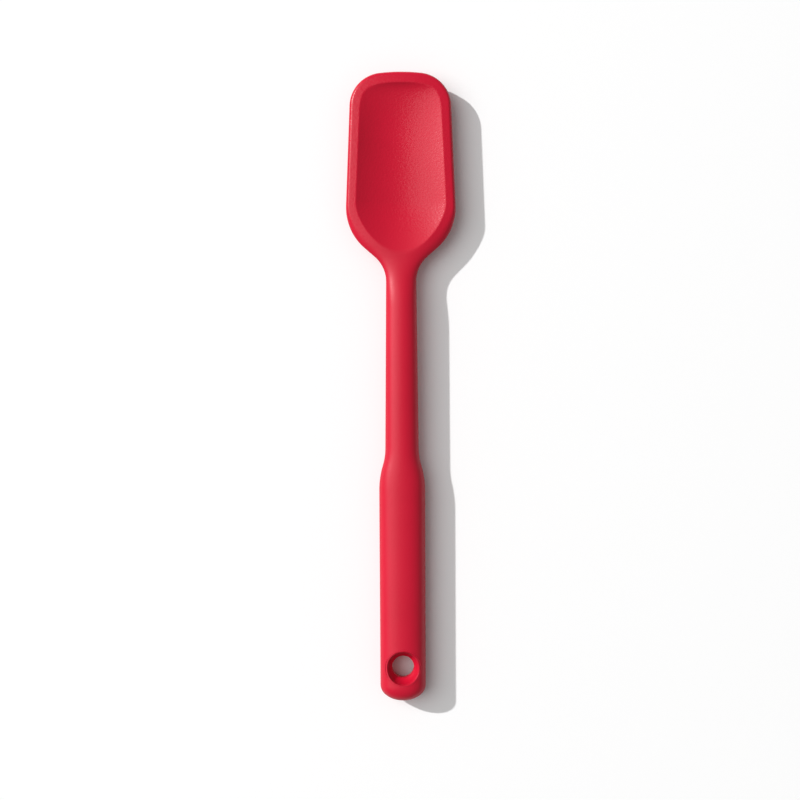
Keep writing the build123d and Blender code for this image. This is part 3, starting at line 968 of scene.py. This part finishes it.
# %% A net of nodes
class Net:
    """The nodes of a material, or of the room's light."""

    def __init__(self, owner):
        owner.use_nodes = True
        self.owner, self.tree = owner, owner.node_tree
        self.tree.nodes.clear()

    def node(self, kind, settings=None, sockets=None, output=0):
        """Adds a node, sets its settings, then the values or links of its sockets."""
        made = self.tree.nodes.new(kind)
        for key, value in (settings or {}).items():
            if key == "stops":
                for stop, (place, shade) in zip(made.color_ramp.elements, value):
                    stop.position, stop.color = place, (shade, shade, shade, 1)
            else:
                setattr(made, key, value)
        for key, value in (sockets or {}).items():
            if isinstance(value, Value):
                self.tree.links.new(value.socket, made.inputs[key])
            else:
                made.inputs[key].default_value = value
        return Value(self, made.outputs[output]) if len(made.outputs) else None

    def place(self):
        """The piece's own coordinates, in metres."""
        return self.node("ShaderNodeTexCoord", output="Object")

    def noise(self, per_metre, detail, roughness=0.5):
        """Smooth noise from 0 to 1, with the given number of lumps in a metre."""
        sockets = {"Vector": self.place(), "Scale": per_metre, "Detail": detail, "Roughness": roughness}
        return self.node("ShaderNodeTexNoise", {}, sockets)

    def ramp(self, value, low, high):
        """Grey that rises from 0 where the value is low to 1 where it is high."""
        return self.node("ShaderNodeValToRGB", {"stops": ((low, 0.0), (high, 1.0))}, {"Fac": value})

    def mix_colours(self, share, first, second):
        """Colour between two colours."""
        settings = {"data_type": "RGBA"}
        return self.node("ShaderNodeMix", settings, {"Factor": share, 6: first, 7: second}, output=2)

    def bump(self, height, distance, strength):
        """Normal of a surface with the given height, where 1 stands for a distance in metres."""
        sockets = {"Height": height, "Distance": distance, "Strength": strength}
        return self.node("ShaderNodeBump", {}, sockets)

    def seen_or_met(self, kind, met, seen):
        """Shader with some values for the light that meets it, and others for the camera."""
        is_seen = self.node("ShaderNodeLightPath", output="Is Camera Ray")
        shaders = {0: is_seen, 1: self.node(kind, {}, met), 2: self.node(kind, {}, seen)}
        return self.node("ShaderNodeMixShader", {}, shaders)

    def finish(self, shader, output="ShaderNodeOutputMaterial"):
        """Gives the shader to the surface and returns the material or the room."""
        self.node(output, {}, {"Surface": shader})
        print(self.owner.name, "has", len(self.tree.nodes), "nodes")
        return self.owner


# %% [markdown]
# Satin silicone
# The mould for such a tool is sand blasted, so the silicone comes out satin: a fine pebbled grain
# that spreads the lamp's reflection into a broad soft sheen. In the bowl the pebbles are deep enough
# to show on the wall that faces the light. Shaft and handle are finer and duller, for a better grip.
# Pigment isn't perfectly even either. So the colour, the roughness and the grain's height vary over
# the surface. Gloss at grazing angles comes from the shader, which needs silicone's own refractive
# index of 1.41.

# %% Satin silicone
SILICONE_RED = (0.62, 0.005, 0.031, 1)
SILICONE_DEEP = (0.59, 0.0046, 0.0285, 1)
SILICONE_INDEX = 1.41
CLOUDS_PER_METRE = 38
CLOUD_STOPS = (0.35, 0.65)
RUBS_PER_METRE = 120
GRAINS_PER_METRE = 1500
PEBBLES_PER_METRE = 800
HEAD_ROUGHNESS = 0.25
GRIP_ROUGHNESS = 0.37
RUB_ROUGHNESS = 0.05
GRAIN_ROUGHNESS = 0.03
GRAIN_DEPTH = 0.2
GRAIN_STRENGTH = 0.7
GRIP_GRAIN_SHARE = 0.4
PEBBLE_SHARE = 0.5


def satin_silicone():
    """Red silicone with a sand-blasted grain."""
    net = Net(bpy.data.materials.new("satin_silicone"))
    clouds = net.noise(CLOUDS_PER_METRE, detail=3)
    rubbed = net.noise(RUBS_PER_METRE, detail=4, roughness=0.6)
    grain = net.noise(GRAINS_PER_METRE, detail=2, roughness=0.6)
    pebbles = net.noise(PEBBLES_PER_METRE, detail=1)
    colour = net.mix_colours(net.ramp(clouds, *CLOUD_STOPS), SILICONE_DEEP, SILICONE_RED)
    along = net.node("ShaderNodeSeparateXYZ", {}, {0: net.place()}, output=1)
    reach = {"Value": along, "From Min": flank_root_y * MM, "From Max": widest_y * MM}
    on_head = net.node("ShaderNodeMapRange", {"interpolation_type": "SMOOTHSTEP"}, reach)
    on_grip = 1 - on_head
    blasted = on_head * HEAD_ROUGHNESS + on_grip * GRIP_ROUGHNESS
    roughness = blasted + rubbed * RUB_ROUGHNESS + grain * GRAIN_ROUGHNESS
    height = grain * (1 - PEBBLE_SHARE) + pebbles * PEBBLE_SHARE
    height = height * (on_head + on_grip * GRIP_GRAIN_SHARE)
    normal = net.bump(height, GRAIN_DEPTH * MM, GRAIN_STRENGTH)
    sockets = {"Base Color": colour, "Roughness": roughness, "Normal": normal, "IOR": SILICONE_INDEX}
    return net.finish(net.node("ShaderNodeBsdfPrincipled", {}, sockets))


skin.data.materials.append(satin_silicone())

# %% [markdown]
# Moulded nylon
# The core is hidden for the tool's whole life, but it is a piece like any other. Nylon filled with
# short glass fibres comes out of its mould nearly black, with a faint grey swirl where the melt
# flowed, and slightly rough, because fibres lie just under the surface.

# %% Moulded nylon for the core
NYLON_DARK = (0.022, 0.022, 0.024, 1)
NYLON_SWIRL = (0.038, 0.038, 0.041, 1)
NYLON_ROUGHNESS = 0.46
SWIRLS_PER_METRE = 60
FIBRES_PER_METRE = 1800
FIBRE_ROUGHNESS = 0.14
FIBRE_DEPTH = 0.04
FIBRE_STRENGTH = 0.5
FLECK_COLOUR = (0.16, 0.16, 0.155, 1)
FLECK_STOPS = (0.62, 0.74)
FLECK_SHARE = 0.35


def moulded_nylon():
    """Near-black nylon with pale flecks of glass fibre."""
    net = Net(bpy.data.materials.new("moulded_nylon"))
    swirl = net.noise(SWIRLS_PER_METRE, detail=4, roughness=0.6)
    fibres = net.noise(FIBRES_PER_METRE, detail=3, roughness=0.7)
    flecks = net.ramp(fibres, *FLECK_STOPS) * FLECK_SHARE
    melt = net.mix_colours(swirl, NYLON_DARK, NYLON_SWIRL)
    colour = net.mix_colours(flecks, melt, FLECK_COLOUR)
    normal = net.bump(fibres, FIBRE_DEPTH * MM, FIBRE_STRENGTH)
    roughness = NYLON_ROUGHNESS + fibres * FIBRE_ROUGHNESS
    sockets = {"Base Color": colour, "Roughness": roughness, "Normal": normal}
    return net.finish(net.node("ShaderNodeBsdfPrincipled", {}, sockets))


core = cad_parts["nylon_core"]
core.data.materials.clear()
core.data.materials.append(moulded_nylon())

# %% [markdown]
# Camera
# The photographer stood over the table and looked straight down, so the camera hangs level above the
# tool, a little behind its middle, and is turned by about a quarter of a degree. How near it hangs
# shows in how much of the bore's wall is seen through the hanging hole.

# %% Camera
CAMERA_HEIGHT = 0.690
CAMERA_PLACE = (-0.0009, -0.0068)
CAMERA_TURN = -0.28
VIEW_WIDTH = 0.4045
VIEW_LEVEL = 10.5
NEAREST_SEEN = 0.01
FURTHEST_SEEN = 20.0

view = bpy.data.cameras.new("camera")
view.lens = view.sensor_width * (CAMERA_HEIGHT - VIEW_LEVEL * MM) / VIEW_WIDTH
view.clip_start = NEAREST_SEEN
view.clip_end = FURTHEST_SEEN
camera = bpy.data.objects.new("camera", view)
camera.location = (*CAMERA_PLACE, CAMERA_HEIGHT)
camera.rotation_euler = (0, 0, math.radians(CAMERA_TURN))
scene.collection.objects.link(camera)
scene.camera = camera
print("lens", round(view.lens, 1), "mm")

# %% [markdown]
# Light
# One hard lamp stands low to the left and ahead of the tool, which gives the sharp grey shadow on the
# right. A large soft lamp on the same side and the pale room fill the shadow. Together they light a
# level white sheet to about its own colour. The soft lamp's power follows from its share of that: a
# disk's light falls off as the square of its distance, and grows as the sine of its elevation.

# %% Lamps
KEY_TOWARDS = (-0.87, 0.5)
KEY_ELEVATION = 33
KEY_STRENGTH = 2.78
KEY_SPREAD = 1.2
FILL_TOWARDS = (-0.96, 0.28)
FILL_ELEVATION = 56
FILL_SIZE = 3.3
FILL_DISTANCE = 3.5
FILL_SHARE = 0.35


def towards(across, along, elevation):
    """Unit vector to a lamp: its direction on the table, raised by the elevation in degrees."""
    flat = Vector((across, along, 0)).normalized() * math.cos(math.radians(elevation))
    return Vector((flat.x, flat.y, math.sin(math.radians(elevation))))


def add_lamp(name, kind, direction, distance, **values):
    """Lamp at a distance in a direction from the tool, turned to it."""
    data = bpy.data.lights.new(name, kind)
    for key, value in values.items():
        setattr(data, key, value)
    lamp = bpy.data.objects.new(name, data)
    lamp.location = direction * distance
    lamp.rotation_euler = direction.to_track_quat("Z", "Y").to_euler()
    scene.collection.objects.link(lamp)


key_towards = towards(*KEY_TOWARDS, KEY_ELEVATION)
key_angle = math.radians(KEY_SPREAD)
add_lamp("key", "SUN", key_towards, 1, energy=KEY_STRENGTH, angle=key_angle)
fill_towards = towards(*FILL_TOWARDS, FILL_ELEVATION)
fill_power = FILL_SHARE * (math.pi * FILL_DISTANCE) ** 2 / fill_towards.z
add_lamp("fill", "AREA", fill_towards, FILL_DISTANCE, shape="DISK", size=FILL_SIZE, energy=fill_power)
print("fill lamp", round(fill_power, 1), "W")

# %% [markdown]
# Room
# A product photo has a white background however dim the room is. So the camera sees plain white where
# it looks past the table, and everything else is lit by a room of about a quarter of that.

# %% Room
WHITE = (1, 1, 1, 1)
ROOM_STRENGTH = 0.235

room = Net(bpy.data.worlds.new("room"))
room_light = {"Color": WHITE, "Strength": ROOM_STRENGTH}
backdrop = {"Color": WHITE, "Strength": 1.0}
room_shader = room.seen_or_met("ShaderNodeBackground", room_light, backdrop)
scene.world = room.finish(room_shader, "ShaderNodeOutputWorld")

# %% [markdown]
# Table
# A plain pale sheet. It looks white to the camera and is a little darker to the light that bounces
# from it, so that the underside of the red edges isn't lit too brightly. It keeps the tool's shadow.

# %% Table
TABLE_HALF_SIZE = 3.0
TABLE_BOUNCE = (0.72, 0.72, 0.72, 1)

corners = np.array([(-1, -1, 0), (1, -1, 0), (1, 1, 0), (-1, 1, 0)]) * TABLE_HALF_SIZE
table_mesh = bpy.data.meshes.new("table")
table_mesh.from_pydata(corners.tolist(), [], [(0, 1, 2, 3)])
table = bpy.data.objects.new("table", table_mesh)
scene.collection.objects.link(table)
sheet = Net(bpy.data.materials.new("pale_sheet"))
sheet_shader = sheet.seen_or_met("ShaderNodeBsdfDiffuse", {"Color": TABLE_BOUNCE}, {"Color": WHITE})
table_mesh.materials.append(sheet.finish(sheet_shader))
print("table", 2 * TABLE_HALF_SIZE, "m wide")
